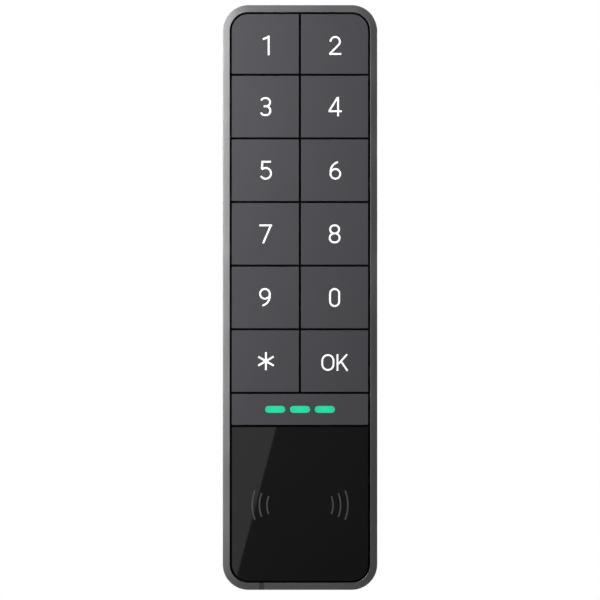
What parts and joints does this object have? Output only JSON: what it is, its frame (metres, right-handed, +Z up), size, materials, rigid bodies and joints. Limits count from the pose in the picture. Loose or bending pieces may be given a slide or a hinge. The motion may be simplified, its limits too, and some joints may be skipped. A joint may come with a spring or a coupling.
{
  "type": "rfid card reader",
  "caption": "Slim wall-mounted card reader with a keypad above a status bar and a glossy card window, in a metal frame that hangs on a wall bracket and swings open for wiring.",
  "frame": {"origin": "middle of the wall side of the bracket, on the wall plane", "axes": "+Z up the wall, +Y into the wall, +X to the right seen from the front"},
  "size_m": [0.051, 0.025, 0.193],
  "materials": {
    "bracket_plastic": "fine moulded grain",
    "frame_metal": "satin grey, fine grain",
    "break_plastic": "satin",
    "cover_plastic": "moulded grain",
    "carrier_plastic": "dull black",
    "key_plastic": "soft matte graphite",
    "window_plastic": "high gloss black",
    "light_pipe": "translucent green",
    "seal_rubber": "dull",
    "silicone": "satin translucent",
    "clear_sheet": "clear",
    "bonding_film": "dull",
    "board_green": "solder mask",
    "chip_black": "moulded resin",
    "lamp_white": "satin",
    "passive_tan": "satin ceramic",
    "relay_plastic": "satin",
    "terminal_green": "satin",
    "steel": "bright",
    "can_metal": "satin",
    "brass": "machined",
    "copper": "etched",
    "ferrite": "dull",
    "plunger_plastic": "satin"
  },
  "bodies": {
    "bracket": {"wall_bracket": "bracket_plastic", "lock_screw_insert": "brass", "lock_screw": "steel"},
    "reader": {"outer_frame": "frame_metal", "antenna_break": "break_plastic", "rear_cover": "cover_plastic", "rear_seal": "seal_rubber", "cover_screws": "steel", "wiring_gasket": "seal_rubber", "vent_plug": "seal_rubber", "front_carrier": "carrier_plastic", "status_bar": "key_plastic", "status_light_guide": "light_pipe", "reader_window": "window_plastic", "window_adhesive": "bonding_film", "antenna_board": "board_green", "antenna_coil": "copper", "ferrite_sheet": "ferrite", "antenna_header": "chip_black", "keypad_membrane": "silicone", "snap_domes": "steel", "backlight_guide": "clear_sheet", "main_board": "board_green", "board_screws": "steel", "key_leds": "lamp_white", "status_leds": "lamp_white", "controller_chip": "chip_black", "crystal": "can_metal", "relay": "relay_plastic", "reader_chip": "chip_black", "board_passives": "passive_tan", "power_capacitor": "can_metal", "buzzer": "chip_black", "terminal_block": "terminal_green", "terminal_screws": "steel", "tamper_switch": "chip_black"},
    "tamper_pin": {"tamper_plunger": "plunger_plastic", "tamper_spring": "steel"},
    "key_1": {"key_1": "key_plastic"},
    "key_2": {"key_2": "key_plastic"},
    "key_3": {"key_3": "key_plastic"},
    "key_4": {"key_4": "key_plastic"},
    "key_5": {"key_5": "key_plastic"},
    "key_6": {"key_6": "key_plastic"},
    "key_7": {"key_7": "key_plastic"},
    "key_8": {"key_8": "key_plastic"},
    "key_9": {"key_9": "key_plastic"},
    "key_0": {"key_0": "key_plastic"},
    "key_star": {"key_star": "key_plastic"},
    "key_ok": {"key_ok": "key_plastic"}
  },
  "joints": [
    {"name": "reader_swing", "type": "hinge", "parent": "bracket", "child": "reader", "pos_m": [0, -0.0031, 0.0916], "axis": [-1, 0, 0], "range_deg": [0, 10]},
    {"name": "tamper_slide", "type": "slide", "parent": "reader", "child": "tamper_pin", "axis": [0, 1, 0], "range_m": [0, 0.0015], "stiffness_N_per_m": 300, "deforming": ["tamper_spring"]},
    {"name": "key_1_press", "type": "slide", "parent": "reader", "child": "key_1", "axis": [0, 1, 0], "range_m": [0, 0.0006], "stiffness_N_per_m": 1500, "deforming": ["keypad_membrane"]},
    {"name": "key_2_press", "type": "slide", "parent": "reader", "child": "key_2", "axis": [0, 1, 0], "range_m": [0, 0.0006], "stiffness_N_per_m": 1500, "deforming": ["keypad_membrane"]},
    {"name": "key_3_press", "type": "slide", "parent": "reader", "child": "key_3", "axis": [0, 1, 0], "range_m": [0, 0.0006], "stiffness_N_per_m": 1500, "deforming": ["keypad_membrane"]},
    {"name": "key_4_press", "type": "slide", "parent": "reader", "child": "key_4", "axis": [0, 1, 0], "range_m": [0, 0.0006], "stiffness_N_per_m": 1500, "deforming": ["keypad_membrane"]},
    {"name": "key_5_press", "type": "slide", "parent": "reader", "child": "key_5", "axis": [0, 1, 0], "range_m": [0, 0.0006], "stiffness_N_per_m": 1500, "deforming": ["keypad_membrane"]},
    {"name": "key_6_press", "type": "slide", "parent": "reader", "child": "key_6", "axis": [0, 1, 0], "range_m": [0, 0.0006], "stiffness_N_per_m": 1500, "deforming": ["keypad_membrane"]},
    {"name": "key_7_press", "type": "slide", "parent": "reader", "child": "key_7", "axis": [0, 1, 0], "range_m": [0, 0.0006], "stiffness_N_per_m": 1500, "deforming": ["keypad_membrane"]},
    {"name": "key_8_press", "type": "slide", "parent": "reader", "child": "key_8", "axis": [0, 1, 0], "range_m": [0, 0.0006], "stiffness_N_per_m": 1500, "deforming": ["keypad_membrane"]},
    {"name": "key_9_press", "type": "slide", "parent": "reader", "child": "key_9", "axis": [0, 1, 0], "range_m": [0, 0.0006], "stiffness_N_per_m": 1500, "deforming": ["keypad_membrane"]},
    {"name": "key_0_press", "type": "slide", "parent": "reader", "child": "key_0", "axis": [0, 1, 0], "range_m": [0, 0.0006], "stiffness_N_per_m": 1500, "deforming": ["keypad_membrane"]},
    {"name": "key_star_press", "type": "slide", "parent": "reader", "child": "key_star", "axis": [0, 1, 0], "range_m": [0, 0.0006], "stiffness_N_per_m": 1500, "deforming": ["keypad_membrane"]},
    {"name": "key_ok_press", "type": "slide", "parent": "reader", "child": "key_ok", "axis": [0, 1, 0], "range_m": [0, 0.0006], "stiffness_N_per_m": 1500, "deforming": ["keypad_membrane"]}
  ]
}
